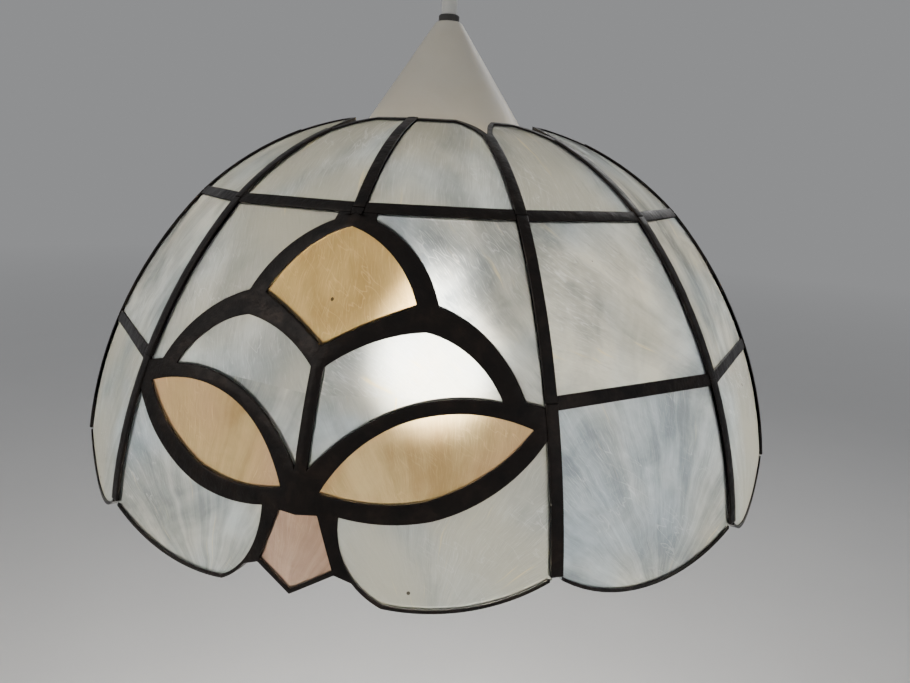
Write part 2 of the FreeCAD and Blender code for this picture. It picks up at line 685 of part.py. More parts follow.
parts.append(revolved("cord_grip", "hub_height + holder_height + cap_height", [
    ("cord_radius", "0"), ("cord_radius * 2.1", "0"), ("cord_radius * 2.1", "grip_height * 0.55"),
    ("cord_radius * 1.6", "grip_height * 0.7"), ("cord_radius * 1.35", "grip_height"),
    ("cord_radius", "grip_height")]))
contact_hole = cylinder("contact_hole", "4", "insert_height + 2", "hub_height + ledge_height - 1")
insert_disc = cylinder("insert_disc", "holder_radius - holder_wall - 0.05", "insert_height",
                       "hub_height + ledge_height")
parts.append(cut("contact_insert", insert_disc, contact_hole))
parts.append(cylinder("centre_contact", "4", "insert_height - 1", "hub_height + ledge_height"))
parts.append(revolved("shell_contact", "hub_height - skirt_length + 4", [
    ("bulb_cap_radius + running_gap", "0"), ("skirt_bore", "0"), ("skirt_bore", "20"),
    ("bulb_cap_radius + running_gap", "20")]))
screw_ends = []
for side, name in ((-1, "left"), (1, "right")):
    screw_ends.append(cylinder(f"terminal_{name}", "2.6", "3",
                               "hub_height + ledge_height + insert_height", x=f"{side * 10}"))
parts.append(fused("holder_terminals", screw_ends))

ring_nut = revolved("shade_ring", "hub_height - hub_sheet - running_gap - ring_nut_height", [
    ("skirt_radius + ring_nut_fit", "0"), ("ring_nut_radius - 3", "0"), ("ring_nut_radius", "2"),
    ("ring_nut_radius", "ring_nut_height"), ("skirt_radius + ring_nut_fit", "ring_nut_height")])
GRIP_COUNT, GRIP_RADIUS = 16, 2.5                  # finger notches round the shade ring
grip_reach = size("ring_nut_radius") + 1
doc.recompute()
plain_volume = ring_nut.Shape.Volume
notch_sketch = new_sketch(ring_nut, "grip_notch", "XY_Plane")
notch_sketch.addGeometry(Part.Circle(Vector(grip_reach, 0, 0), Z_AXIS, GRIP_RADIUS), False)
notch_sketch.addConstraint(Sketcher.Constraint("PointOnObject", 0, 3, -1))
place = notch_sketch.addConstraint(Sketcher.Constraint("DistanceX", -1, 1, 0, 3, grip_reach))
bind(notch_sketch, f"Constraints[{place}]", "ring_nut_radius + 1")
notch_sketch.addConstraint(Sketcher.Constraint("Radius", 0, GRIP_RADIUS))
notch = ring_nut.newObject("PartDesign::Pocket", "grip_notch_cut")
notch.Profile = notch_sketch
notch.Type = "ThroughAll"
notch.Reversed = True
ring_nut.Tip = notch
doc.recompute()
notches = ring_nut.newObject("PartDesign::PolarPattern", "grip_notches")
notches.Originals = [notch]
notches.Axis = (notch_sketch, ["N_Axis"])
notches.Angle = 360.0
notches.Occurrences = GRIP_COUNT
ring_nut.Tip = notches
doc.recompute()
if ring_nut.Shape.Volume > plain_volume - GRIP_COUNT * 10:
    raise RuntimeError("the shade ring's notches were not cut")
parts.append(ring_nut)

# ------------------------------------------------------------------ the bulb
BULB_TOP = HUB_TOP + size("ledge_height") - size("running_gap")
parts.append(revolved("bulb_contact", "hub_height + ledge_height - running_gap - 0.6", [
    ("0", "0"), ("4.4", "0"), ("4.4", "0.4"), ("3.6", "0.6"), ("0", "0.6")]))
parts.append(revolved("bulb_insulator", "hub_height + ledge_height - running_gap - 2.4", [
    ("0", "0"), ("8.4", "0"), ("4.6", "1.8"), ("0", "1.8")]))
THREAD_TURNS, THREAD_PITCH = 5, 3.5
cap_outline = [("bulb_cap_radius", "0")]
for turn in range(1, THREAD_TURNS + 1):
    cap_outline += [("bulb_cap_radius - 0.7", f"{(turn - 0.5) * THREAD_PITCH}"),
                    ("bulb_cap_radius", f"{turn * THREAD_PITCH}")]
cap_outline += [("9.4", "23.1"), ("8.4", "23.1"), ("bulb_cap_radius - 1.2", "18.5"),
                ("bulb_cap_radius - 1.2", "0")]
parts.append(revolved("bulb_cap", "hub_height + ledge_height - running_gap - 25.5", cap_outline))


NECK_RADIUS = size("bulb_cap_radius") - 1.2
NECK_TOP, NECK_END, FLARE_END = -22, -33, -55      # heights below the bulb's contact


def bulb_outline(inset):
    """The glass envelope's section: a neck, a flare and a globe, moved in by the inset."""
    globe, length = size("bulb_radius"), size("bulb_length")
    centre = globe - length
    rise, fall = math.radians(35), math.radians(-25)
    neck = NECK_RADIUS - inset
    globe_in = globe - inset

    def on_globe(angle):
        return Vector(globe_in * math.cos(angle), 0, centre + globe_in * math.sin(angle))

    shoulder = on_globe(rise)
    bottom = Vector(0, 0, centre - globe_in)
    return Part.Wire([
        Part.LineSegment(Vector(0, 0, NECK_TOP), Vector(neck, 0, NECK_TOP)).toShape(),
        Part.LineSegment(Vector(neck, 0, NECK_TOP), Vector(neck, 0, NECK_END)).toShape(),
        Part.Arc(Vector(neck, 0, NECK_END), Vector(16.6 - inset, 0, FLARE_END), shoulder).toShape(),
        Part.Arc(shoulder, on_globe(fall), bottom).toShape(),
        Part.LineSegment(bottom, Vector(0, 0, NECK_TOP)).toShape()])


GLASS_WALL = 0.8
envelope = Part.Face(bulb_outline(0)).revolve(Vector(0, 0, 0), Z_AXIS, 360)
hollow = Part.Face(bulb_outline(GLASS_WALL)).revolve(Vector(0, 0, 0), Z_AXIS, 360)
feature("bulb_glass", envelope.cut(hollow), BULB_TOP - DROP)
STEM_LENGTH, ROD_LENGTH, ROD_CIRCLE = 24, 50, 8.5
flare = Part.makeCylinder(NECK_RADIUS - GLASS_WALL, 1.5, Vector(0, 0, NECK_TOP - 1.5))
stem = flare.fuse(Part.makeCone(6, 2.4, STEM_LENGTH, Vector(0, 0, NECK_TOP), -Z_AXIS))
ROD_WAYS = [Vector(math.cos(a), math.sin(a), 0) for a in (math.radians(45 + 90 * k) for k in range(4))]
rods = [Part.makeCylinder(1.1, ROD_LENGTH, way * ROD_CIRCLE - Z_AXIS * 95) for way in ROD_WAYS]
spokes = [Part.makeCylinder(0.5, ROD_CIRCLE + 0.1, Vector(0, 0, -45.2), way) for way in ROD_WAYS]
feature("bulb_filaments", stem.fuse(rods + spokes), BULB_TOP - DROP)

# ------------------------------------------------------------------ the cone cover
parts.append(revolved("cone_cover", "cone_base_height", [
    ("cone_base_radius - cone_wall", "0"), ("cone_base_radius", "0"), ("cone_base_radius", "1.2"),
    ("cone_top_radius + 0.8", "cone_height - 0.6"), ("cone_top_radius", "cone_height"),
    ("grommet_radius - 0.8", "cone_height"), ("grommet_radius - 0.8", "cone_height - 3"),
    ("cone_base_radius - cone_wall - 0.7", "1.2")]))
parts.append(revolved("cone_grommet", "cone_base_height + cone_height - 2.6", [
    ("grommet_bore", "0"), ("grommet_radius - 0.8", "0"), ("grommet_radius - 0.8", "2.6"),
    ("grommet_radius", "2.6"), ("grommet_radius", "5.4"), ("grommet_radius - 0.5", "6"),
    ("grommet_bore", "6")]))

# ------------------------------------------------------------------ the ceiling fitting
CEILING = "ring_drop"
plate = doc.addObject("PartDesign::Body", "bracket_plate")
disc_sketch = new_sketch(plate, "plate_disc", "XY_Plane")
disc_sketch.addGeometry(Part.Circle(Vector(0, 0, 0), Z_AXIS, size("plate_radius")), False)
disc_sketch.addConstraint(Sketcher.Constraint("Coincident", 0, 3, -1, 1))
rim = disc_sketch.addConstraint(Sketcher.Constraint("Radius", 0, size("plate_radius")))
bind(disc_sketch, f"Constraints[{rim}]", "plate_radius")
for side in (-1, 1):
    hole = disc_sketch.addGeometry(Part.Circle(Vector(side * size("plate_pitch") / 2, 0, 0), Z_AXIS,
                                               size("plate_hole")), False)
    disc_sketch.addConstraint(Sketcher.Constraint("PointOnObject", hole, 3, -1))
    place = disc_sketch.addConstraint(Sketcher.Constraint("DistanceX", -1, 1, hole, 3,
                                                          side * size("plate_pitch") / 2))
    bind(disc_sketch, f"Constraints[{place}]", f"{side} * plate_pitch / 2")
    width = disc_sketch.addConstraint(Sketcher.Constraint("Radius", hole, size("plate_hole")))
    bind(disc_sketch, f"Constraints[{width}]", "plate_hole")
disc = plate.newObject("PartDesign::Pad", "plate_pad")
disc.Profile = disc_sketch
bind(disc, "Length", "plate_sheet")
plate.Tip = disc
raise_to(plate, f"{CEILING} - plate_sheet")
doc.recompute()

TAB_WIDTH, TAB_LENGTH = 8, 10
tabs = [block(f"tab_{name}", f"{TAB_WIDTH}", "plate_sheet", f"{TAB_LENGTH}",
              f"{CEILING} - plate_sheet - {TAB_LENGTH}", "0",
              y=f"{side} * ( plate_radius - plate_sheet / 2 - 0.3 )")
        for side, name in ((-1, "front"), (1, "back"))]

bail_x, bail_bend, depth = size("bail_half_width"), 6.0, size("pivot_depth")
corner = bail_bend * (1 - math.sqrt(0.5))
wire_top = -size("plate_sheet")
bail_route = [(-bail_x, wire_top), (-bail_x, bail_bend - depth),
              ("arc", (corner - bail_x, corner - depth), (bail_bend - bail_x, -depth)),
              (bail_x - bail_bend, -depth),
              ("arc", (bail_x - corner, corner - depth), (bail_x, bail_bend - depth)),
              (bail_x, wire_top)]
bail_path = Part.Wire(edge_chain(bail_route, lambda p: Vector(p[0], 0, p[1]), closed=False))
ring_of_wire = Part.Wire(Part.makeCircle(size("bail_radius"), Vector(-bail_x, 0, wire_top), Z_AXIS))
feature("ceiling_bail", bail_path.makePipeShell([ring_of_wire], True, True))

cup_shell = revolved("cup_shell", f"{CEILING} - cup_height", [
    ("cup_outlet", "0"), ("cup_floor_radius - 1", "0"), ("cup_floor_radius", "1"),
    ("cup_radius", "cup_height - cup_band"), ("cup_radius", "cup_height"),
    ("cup_radius - cone_wall", "cup_height"), ("cup_radius - cone_wall", "cup_height - cup_band + 0.4"),
    ("cup_floor_radius - 1.2", "cone_wall"), ("cup_outlet", "cone_wall")])
SCREW_HEIGHT, SCREW_RADIUS = f"{CEILING} - 7", "1.5"


def hole_through(label, radius):
    """A cylinder along Y, right through the ceiling fitting at the screws' height."""
    return cylinder(label, radius, "2 * cup_radius + 20", SCREW_HEIGHT, y="cup_radius + 10",
                    turn=Rotation(X_AXIS, 90))


parts.append(cut("ceiling_bracket", fused("bracket_solid", [plate] + tabs),
                 hole_through("tab_threads", SCREW_RADIUS)))
parts.append(cut("ceiling_cup", cup_shell, hole_through("cup_screw_hole", SCREW_RADIUS + " + 0.1")))
screws = []
for side, name in ((1, "back"), (-1, "front")):
    for radius, length, start, tag in (
            (SCREW_RADIUS, "cup_radius - plate_radius + 4.5", "plate_radius - 4", "shank"),
            ("3", "1.8", "cup_radius", "head")):
        screws.append(cylinder(f"cup_screw_{name}_{tag}", radius, length, SCREW_HEIGHT,
                               y=f"{side} * ( {start} )", turn=Rotation(X_AXIS, -90 * side)))
parts.append(fused("cup_screws", screws))

# the hanger: a strap whose eye turns on the bail, over a boss that grips the cord
BOSS_TOP, BOSS_BOTTOM = 40, 48
strap = block("hanger_strap", "4", "14", f"{BOSS_TOP} - pivot_depth + 2",
              f"{CEILING} - {BOSS_TOP} - 2", "0")
strap_head = cylinder("hanger_head", "7", "4", f"{CEILING} - pivot_depth", x="-2",
                      turn=Rotation(Y_AXIS, 90))
boss = cylinder("hanger_boss", "8", f"{BOSS_BOTTOM - BOSS_TOP}", f"{CEILING} - {BOSS_BOTTOM}")
eye = cylinder("hanger_eye", "bail_radius + eye_fit", "6", f"{CEILING} - pivot_depth", x="-3",
               turn=Rotation(Y_AXIS, 90))
socket = cylinder("hanger_socket", "cord_radius", f"{BOSS_BOTTOM - BOSS_TOP - 2} + 5",
                  f"{CEILING} - {BOSS_BOTTOM} - 5")
hanger = cut("cord_hanger", fused("hanger_solid", [strap, strap_head, boss]),
             fused("hanger_cuts", [eye, socket]))
parts.append(hanger)

# the cord, pulled straight by the lamp's weight, from the holder's cap up into the hanger
parts.append(cylinder("cord", "cord_radius",
                      f"{CEILING} - {BOSS_TOP + 2} - hub_height - cord_entry", "hub_height + cord_entry"))
doc.recompute()
cord_run = value_of(f"ring_drop - {BOSS_TOP + 2} - hub_height - cord_entry")
print("cord: straight,", round(cord_run, 1), "mm long, no bends")

# the cores leave the boss sideways and turn up to the terminal block
CORE_RADIUS, CORE_BEND, CORE_HEIGHT = 1.1, 8.0, -44.0
CORE_START, CORE_CORNER, CORE_END = 6.5, 12.0, -30.0
QUARTER = math.sqrt(0.5)
core_route = [(CORE_START, CORE_HEIGHT), (CORE_CORNER, CORE_HEIGHT),
              ("arc", (CORE_CORNER + CORE_BEND * QUARTER, CORE_HEIGHT + CORE_BEND * (1 - QUARTER)),
               (CORE_CORNER + CORE_BEND, CORE_HEIGHT + CORE_BEND)),
              (CORE_CORNER + CORE_BEND, CORE_END)]
core_shapes = []
for x in (-2.4, 2.4):
    wire = Part.Wire(edge_chain(core_route, lambda p, x=x: Vector(x, p[0], p[1]), closed=False))
    section = Part.Wire(Part.makeCircle(CORE_RADIUS, Vector(x, CORE_START, CORE_HEIGHT), Y_AXIS))
    core_shapes += solids_of(wire.makePipeShell([section], True, True).cut(hanger.Shape))
feature("cord_cores", Part.makeCompound(core_shapes))
BLOCK_Y, BLOCK_HEIGHT = CORE_CORNER + CORE_BEND, 12
parts.append(block("terminal_block", "13", "12", f"{BLOCK_HEIGHT}", f"{CEILING} + {CORE_END}", "0",
                   y=f"{BLOCK_Y}"))
block_screws = [cylinder(f"block_screw_{name}", "2.2", "1.6", f"{CEILING} + {CORE_END} + {BLOCK_HEIGHT}",
                         x=x, y=f"{BLOCK_Y}") for name, x in (("left", "-2.9"), ("right", "2.9"))]
parts.append(fused("terminal_screws", block_screws))

# ------------------------------------------------------------------ check and export
doc.recompute()
for item in doc.Objects:
    if "Invalid" in item.State or "Error" in item.State:
        raise RuntimeError(f"{item.Label} did not recompute: {item.State}")
os.makedirs("parts", exist_ok=True)
for piece in parts:
    shape = piece.Shape
    if shape.isNull() or not shape.isValid() or shape.Volume <= 0:
        raise RuntimeError(f"{piece.Label} has no valid solid")
    shape.exportStep(f"parts/{piece.Label}.step")
print(len(parts), "sub-parts,", sum(len(piece.Shape.Solids) for piece in parts), "solids")
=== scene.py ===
import json
import math

import bmesh
import bpy
from mathutils import Matrix, Vector


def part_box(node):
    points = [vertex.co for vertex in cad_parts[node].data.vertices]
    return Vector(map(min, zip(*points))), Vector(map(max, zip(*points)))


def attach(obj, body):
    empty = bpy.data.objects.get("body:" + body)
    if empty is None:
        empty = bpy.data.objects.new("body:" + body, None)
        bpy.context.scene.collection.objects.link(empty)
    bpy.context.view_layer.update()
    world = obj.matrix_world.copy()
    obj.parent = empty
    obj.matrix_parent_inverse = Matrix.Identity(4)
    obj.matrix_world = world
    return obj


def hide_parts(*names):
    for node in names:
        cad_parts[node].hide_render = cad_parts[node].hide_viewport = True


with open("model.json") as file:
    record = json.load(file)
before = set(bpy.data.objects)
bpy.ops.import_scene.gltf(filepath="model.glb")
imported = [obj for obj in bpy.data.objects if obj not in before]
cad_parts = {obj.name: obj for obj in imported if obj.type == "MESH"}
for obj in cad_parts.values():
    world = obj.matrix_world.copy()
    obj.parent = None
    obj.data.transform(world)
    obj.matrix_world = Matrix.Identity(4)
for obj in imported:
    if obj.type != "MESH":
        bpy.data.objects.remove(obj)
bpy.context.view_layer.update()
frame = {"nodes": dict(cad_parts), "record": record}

nodes = frame["nodes"]

# ------------------------------------------------------------------ camera
# In front of the first flower and a little to its right, a hand's breadth above the middle ring.
RING_Z = (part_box("middle_ring_came")[0].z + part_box("middle_ring_came")[1].z) / 2
CAMERA_REACH, CAMERA_TURN, CAMERA_RISE = 0.3974, math.radians(15), 0.0792
CAMERA_YAW, CAMERA_PITCH, CAMERA_ROLL = 0.2333, -0.2348, -0.0510

camera_data = bpy.data.cameras.new("camera")
camera_data.sensor_width, camera_data.lens = 36, 28.87
camera = bpy.data.objects.new("camera", camera_data)
bpy.context.scene.collection.objects.link(camera)
turn = (Matrix.Rotation(CAMERA_YAW, 3, "Z") @ Matrix.Rotation(CAMERA_PITCH, 3, "X")
        @ Matrix.Rotation(CAMERA_ROLL, 3, "Y"))
right, ahead, up = turn.col[0], turn.col[1], turn.col[2]
stand = Vector((CAMERA_REACH * math.sin(CAMERA_TURN), -CAMERA_REACH * math.cos(CAMERA_TURN),
                RING_Z + CAMERA_RISE))
camera.matrix_world = Matrix.Translation(stand) @ Matrix((right, up, -ahead)).transposed().to_4x4()
bpy.context.scene.camera = camera

# ------------------------------------------------------------------ cord
# The part's straight run: from inside the lampholder's cap up into the hanger's boss.
CORD_LOW, CORD_HIGH, CORD_WIDTH = -0.147, -0.042, 0.0077

cord_curve = bpy.data.curves.new("cord_line", "CURVE")
cord_curve.dimensions = "3D"
spline = cord_curve.splines.new("NURBS")
spline.points.add(2)
for point, height in zip(spline.points, (CORD_LOW, (CORD_LOW + CORD_HIGH) / 2, CORD_HIGH)):
    point.co = (0, 0, height, 1)
    point.radius = CORD_WIDTH / 2                 # the bevel's depth of 1 is scaled by this
spline.order_u = 3
spline.use_endpoint_u = True
cord_curve.bevel_depth = 1.0
cord_curve.bevel_resolution = 8
cord_curve.use_fill_caps = True
cord_piece = bpy.data.objects.new("cord_piece", cord_curve)
bpy.context.scene.collection.objects.link(cord_piece)
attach(cord_piece, "pendant")
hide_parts("cord")


# ------------------------------------------------------------------ materials
class Tree:
    """One material's node tree, built a node at a time."""

    def __init__(self, name):
        self.material = bpy.data.materials.new(name)
        self.material.use_nodes = True
        self.nodes = self.material.node_tree.nodes
        self.links = self.material.node_tree.links
        self.nodes.clear()

    def add(self, kind, inputs=(), **settings):
        node = self.nodes.new(kind)
        for key, value in settings.items():
            setattr(node, key, value)
        for key, value in dict(inputs).items():
            self.feed(node.inputs[key], value)
        return node

    def feed(self, socket, value):
        if isinstance(value, bpy.types.NodeSocket):
            self.links.new(value, socket)
        else:
            socket.default_value = value

    def math(self, operation, *values):
        node = self.nodes.new("ShaderNodeMath")
        node.operation = operation
        for socket, value in zip(node.inputs, values):
            self.feed(socket, value)
        return node.outputs[0]

    def vector(self, x, y, z):
        return self.add("ShaderNodeCombineXYZ", {"X": x, "Y": y, "Z": z}).outputs[0]

    def place(self):
        """The place on the object, in metres."""
        return self.add("ShaderNodeTexCoord").outputs["Object"]

    def parts(self, vector):
        return self.add("ShaderNodeSeparateXYZ", {"Vector": vector}).outputs

    def product(self, first, second):
        return self.math("MULTIPLY", first, second)

    def length(self, x, y):
        return self.math("SQRT", self.math("ADD", self.product(x, x), self.product(y, y)))

    def noise(self, place, scale, detail=4.0, roughness=0.55, distortion=0.0):
        return self.add("ShaderNodeTexNoise", {"Vector": place, "Scale": scale, "Detail": detail,
                                               "Roughness": roughness, "Distortion": distortion}).outputs[0]

    def ramp(self, factor, *stops):
        """A colour ramp from (position, colour) stops."""
        node = self.add("ShaderNodeValToRGB", {"Fac": factor})
        points = node.color_ramp.elements
        while len(points) < len(stops):
            points.new(0.5)
        for point, (position, colour) in zip(points, stops):
            point.position = position
            point.color = (*colour, 1)
        return node.outputs[0]

    def fit(self, value, low, high, to_low=0.0, to_high=1.0):
        """The value's range low to high, brought to another range and held inside it."""
        return self.add("ShaderNodeMapRange", {"Value": value, "From Min": low, "From Max": high,
                                               "To Min": to_low, "To Max": to_high}).outputs[0]

    def mix(self, factor, first, second, blend="MIX"):
        node = self.nodes.new("ShaderNodeMix")
        node.data_type = "RGBA"
        node.blend_type = blend
        for index, value in ((0, factor), (6, first), (7, second)):
            self.feed(node.inputs[index], value)
        return node.outputs[2]

    def bump(self, height, distance):
        return self.add("ShaderNodeBump", {"Height": height, "Distance": distance,
                                           "Strength": 1.0}).outputs[0]

    def principled(self, **inputs):
        names = {key: key.replace("_", " ").title().replace("Ior", "IOR") for key in inputs}
        return self.add("ShaderNodeBsdfPrincipled", {names[key]: value for key, value in inputs.items()})

    def finish(self, shader):
        output = self.add("ShaderNodeOutputMaterial")
        self.links.new(shader, output.inputs["Surface"])
        return self.material


def shell(name, light, dark, cool, warm, blush, seed, shift_of_facets=0.0):
    """Capiz shell: soft clouds, a fan of streaks, fine dashes, scratches and a few specks.

    light and dark are the colours where the shell is thinnest and thickest.  cool and warm tint
    broad patches of it, and blush is a stain that only some panes have.  Panes that lie across
    a rib are counted from a facet's middle, half a facet round.
    """
    tree = Tree(name)
    x, y, z = tree.parts(tree.place())
    radius = tree.length(x, y)
    azimuth = tree.math("ADD", tree.math("ARCTAN2", x, tree.product(y, -1)), shift_of_facets)
    facet = tree.math("FLOOR", tree.math("DIVIDE", azimuth, FACET_ANGLE))
    raised = tree.math("GREATER_THAN", z, RING_Z)
    tier = tree.math("ADD", raised, tree.math("GREATER_THAN", z, UPPER_Z))
    pane = tree.math("MULTIPLY_ADD", facet, FACET_STRIDE, tree.math("MULTIPLY_ADD", tier, TIER_STRIDE, seed))
    chance = tree.add("ShaderNodeTexWhiteNoise", {"W": pane}, noise_dimensions="1D").outputs["Color"]
    first, second, third = tree.add("ShaderNodeSeparateColor", {"Color": chance}).outputs

    # across and up the pane from its middle, in metres, and a slice of the noise for each pane
    middle = tree.product(tree.math("ADD", facet, 0.5), FACET_ANGLE)
    across = tree.product(tree.math("SUBTRACT", azimuth, middle), radius)
    rise = tree.math("SUBTRACT", z, tree.math("MULTIPLY_ADD", tier, TIER_STEP, LOW_TIER_Z))
    cut = tree.product(second, SLICES)
    flat = tree.vector(across, rise, cut)
    warp = tree.math("MULTIPLY_ADD", tree.noise(flat, 20.0, 3.0, 0.6), FAN_WARP, -FAN_WARP / 2)

    # the fan's point lies close under a low pane, and farther off, at any side, for the others
    lean_limit = tree.math("MULTIPLY_ADD", raised, 1.5, 0.5)
    lean = tree.product(tree.math("SUBTRACT", first, 0.5), lean_limit)
    turned = tree.product(tree.math("GREATER_THAN", third, 0.45), raised)
    side = tree.math("MULTIPLY_ADD", turned, -2.0, 1.0)
    away = tree.math("MULTIPLY_ADD", raised, FAN_REACH - LOW_FAN_REACH, LOW_FAN_REACH)
    fan_x = tree.math("MULTIPLY_ADD", tree.math("SINE", lean), away, tree.math("ADD", across, warp))
    fan_y = tree.math("MULTIPLY_ADD", tree.math("COSINE", lean), away, tree.product(rise, side))
    spread = tree.math("ARCTAN2", fan_x, fan_y)
    reach = tree.length(fan_x, fan_y)

    def fan(finer, longer, detail=4.0, roughness=0.6, distortion=0.1):
        """Noise drawn out along the fan: finer counts across it, longer counts along it."""
        drawn = tree.vector(tree.product(spread, finer), tree.product(reach, longer), cut)
        return tree.noise(drawn, 1.0, detail, roughness, distortion)

    clouds = tree.noise(flat, 27.0, 6.0, 0.56, 0.9)
    patches = tree.noise(flat, 15.0, 3.0, 0.5, 0.5)
    folds = fan(9.0, 11.0, 5.0, 0.6, 0.5)
    fibres, dashes = fan(120.0, 110.0, 3.0, 0.65), fan(260.0, 190.0, 2.0, 0.6)
    growth_place = tree.vector(tree.product(reach, 130.0), tree.product(spread, 3.0), third)
    growth = tree.noise(growth_place, 1.0, 3.0, 0.6, 0.6)
    hair_place = tree.vector(tree.math("MULTIPLY_ADD", rise, 150.0, tree.product(across, 120.0)),
                             tree.math("MULTIPLY_ADD", rise, -24.0, tree.product(across, 30.0)), cut)
    from_line = tree.math("ABSOLUTE", tree.math("SUBTRACT", tree.noise(hair_place, 1.0, 2.0, 0.5), 0.5))
    scratches = tree.fit(from_line, 0.0, SCRATCH_WIDTH, 1.0, 0.0)
    cells = tree.add("ShaderNodeTexVoronoi", {"Vector": flat, "Scale": 52.0}).outputs
    cell_chance = tree.add("ShaderNodeSeparateColor", {"Color": cells["Color"]}).outputs[0]
    specks = tree.product(tree.math("LESS_THAN", cells["Distance"], SPECK_SIZE),
                          tree.math("GREATER_THAN", cell_chance, 1 - SPECK_SHARE))

    # thin shell is light and thick shell dark, then the tints and the stain
    cloud_part = tree.product(clouds, tree.math("MULTIPLY_ADD", raised, 0.06, 0.50))
    fold_part = tree.product(folds, tree.math("MULTIPLY_ADD", raised, -0.03, 0.39))
    depth = tree.math("MULTIPLY_ADD", growth, 0.08, tree.math("ADD", cloud_part, fold_part))
    layers = tree.fit(depth, 0.40, 0.60)
    half = tuple((a + b) / 2 for a, b in zip(light, dark))
    colour = tree.ramp(layers, (0.0, dark), (0.5, half), (1.0, light))
    warmth = tree.fit(tree.math("MULTIPLY_ADD", raised, 0.08, patches), 0.38, 0.66)
    colour = tree.mix(1.0, colour, tree.ramp(warmth, (0.0, cool), (1.0, warm)), "MULTIPLY")
    stained = tree.product(tree.fit(patches, 0.40, 0.60, 0.25, 1.0), tree.math("GREATER_THAN", third, 0.5))
    colour = tree.mix(stained, colour, (*blush, 1))

    # dashes, fibres and scratches show most where the shell is rough
    rough = tree.fit(tree.noise(flat, 24.0, 3.0, 0.6), 0.40, 0.62)
    bright = (*(min(1.0, 1.18 * part) for part in light), 1)
    dash_share = tree.product(tree.fit(dashes, 0.52, 0.74), tree.fit(rough, 0, 1, 0.12, 0.6))
    colour = tree.mix(dash_share, colour, bright)
    fibre_share = tree.product(tree.fit(fibres, 0.48, 0.26), tree.fit(rough, 0, 1, 0.15, 0.5))
    colour = tree.mix(fibre_share, colour, (*dark, 1))
    colour = tree.mix(tree.product(scratches, tree.fit(rough, 0.3, 1.0, 0.05, 0.55)), colour, bright)
    streaks = tree.fit(fan(46.0, 40.0, 2.0, 0.5), 0.66, 0.74)
    colour = tree.mix(tree.product(streaks, tree.fit(patches, 0.42, 0.6, 0.0, 0.7)), colour, STREAK)
    colour = tree.mix(tree.product(specks, 0.9), colour, SPECK)

    relief = tree.math("MULTIPLY_ADD", fibres, 0.5, tree.product(folds, 1.4))
    normal = tree.bump(relief, 0.0002)
    surface = tree.principled(base_color=colour, roughness=tree.fit(fibres, 0.3, 0.7, 0.24, 0.42),
                              coat_weight=0.35, coat_roughness=0.14, normal=normal)
    glow = tree.add("ShaderNodeBsdfTranslucent", {"Color": colour, "Normal": normal})
    haze = tree.add("ShaderNodeBsdfRefraction",
                    {"Color": colour, "Roughness": HAZE_ROUGHNESS, "IOR": HAZE_IOR})
    through = tree.add("ShaderNodeMixShader", {0: HAZE_SHARE, 1: glow.outputs[0], 2: haze.outputs[0]})
    share = tree.fit(layers, 0.0, 1.0, 0.88, 0.95)
    both = tree.add("ShaderNodeMixShader", {0: share, 1: surface.outputs[0], 2: through.outputs[0]})
    return tree.finish(both.outputs[0])


def patina():
    """Dark brown patina over solder: blotches, a fine grain and a faint copper rub."""
    tree = Tree("patina")
    place = tree.place()
    blotch = tree.noise(place, 90.0, 5.0, 0.6, 0.4)
    grain = tree.noise(place, 1500.0, 3.0, 0.6)
    colour = tree.ramp(tree.fit(blotch, 0.3, 0.72), (0.0, (0.010, 0.008, 0.007)),
                       (0.6, (0.020, 0.014, 0.011)), (1.0, (0.038, 0.025, 0.018)))
    relief = tree.math("MULTIPLY_ADD", grain, 0.12, tree.noise(place, 240.0, 3.0, 0.5))
    shader = tree.principled(base_color=colour, metallic=0.55, normal=tree.bump(relief, 0.0005),
                             roughness=tree.fit(blotch, 0.3, 0.7, 0.52, 0.34))
    return tree.finish(shader.outputs[0])


def plastic(name, pale, deep, roughness=(0.22, 0.34), grain=0.00003, through=0.0):
    """Moulded plastic with a faint flow pattern; through is how much light it lets pass."""
    tree = Tree(name)
    place = tree.place()
    flow = tree.noise(place, 38.0, 4.0, 0.55, 0.7)
    fine = tree.noise(place, 1900.0, 2.0, 0.5)
    colour = tree.ramp(tree.fit(flow, 0.3, 0.7), (0.0, deep), (1.0, pale))
    shader = tree.principled(base_color=colour, roughness=tree.fit(flow, 0.3, 0.7, *roughness),
                             normal=tree.bump(fine, grain))
    if not through:
        return tree.finish(shader.outputs[0])
    glow = tree.add("ShaderNodeBsdfTranslucent", {"Color": colour})
    both = tree.add("ShaderNodeMixShader", {0: through, 1: shader.outputs[0], 2: glow.outputs[0]})
    return tree.finish(both.outputs[0])


def metal(name, pale, deep):
    """Bare or plated metal with fine drawn lines and cloudy tarnish."""
    tree = Tree(name)
    place = tree.place()
    x, y, z = tree.parts(place)
    lines = tree.noise(tree.vector(tree.product(x, 300.0), tree.product(y, 300.0), tree.product(z, 4200.0)),
                       1.0, 3.0, 0.6)
    tarnish = tree.noise(place, 120.0, 4.0, 0.6, 0.5)
    colour = tree.ramp(tree.fit(tarnish, 0.3, 0.7), (0.0, deep), (1.0, pale))
    shader = tree.principled(base_color=colour, metallic=1.0, roughness=tree.fit(lines, 0.3, 0.7, 0.24, 0.4),
                             normal=tree.bump(lines, 0.00002))
    return tree.finish(shader.outputs[0])


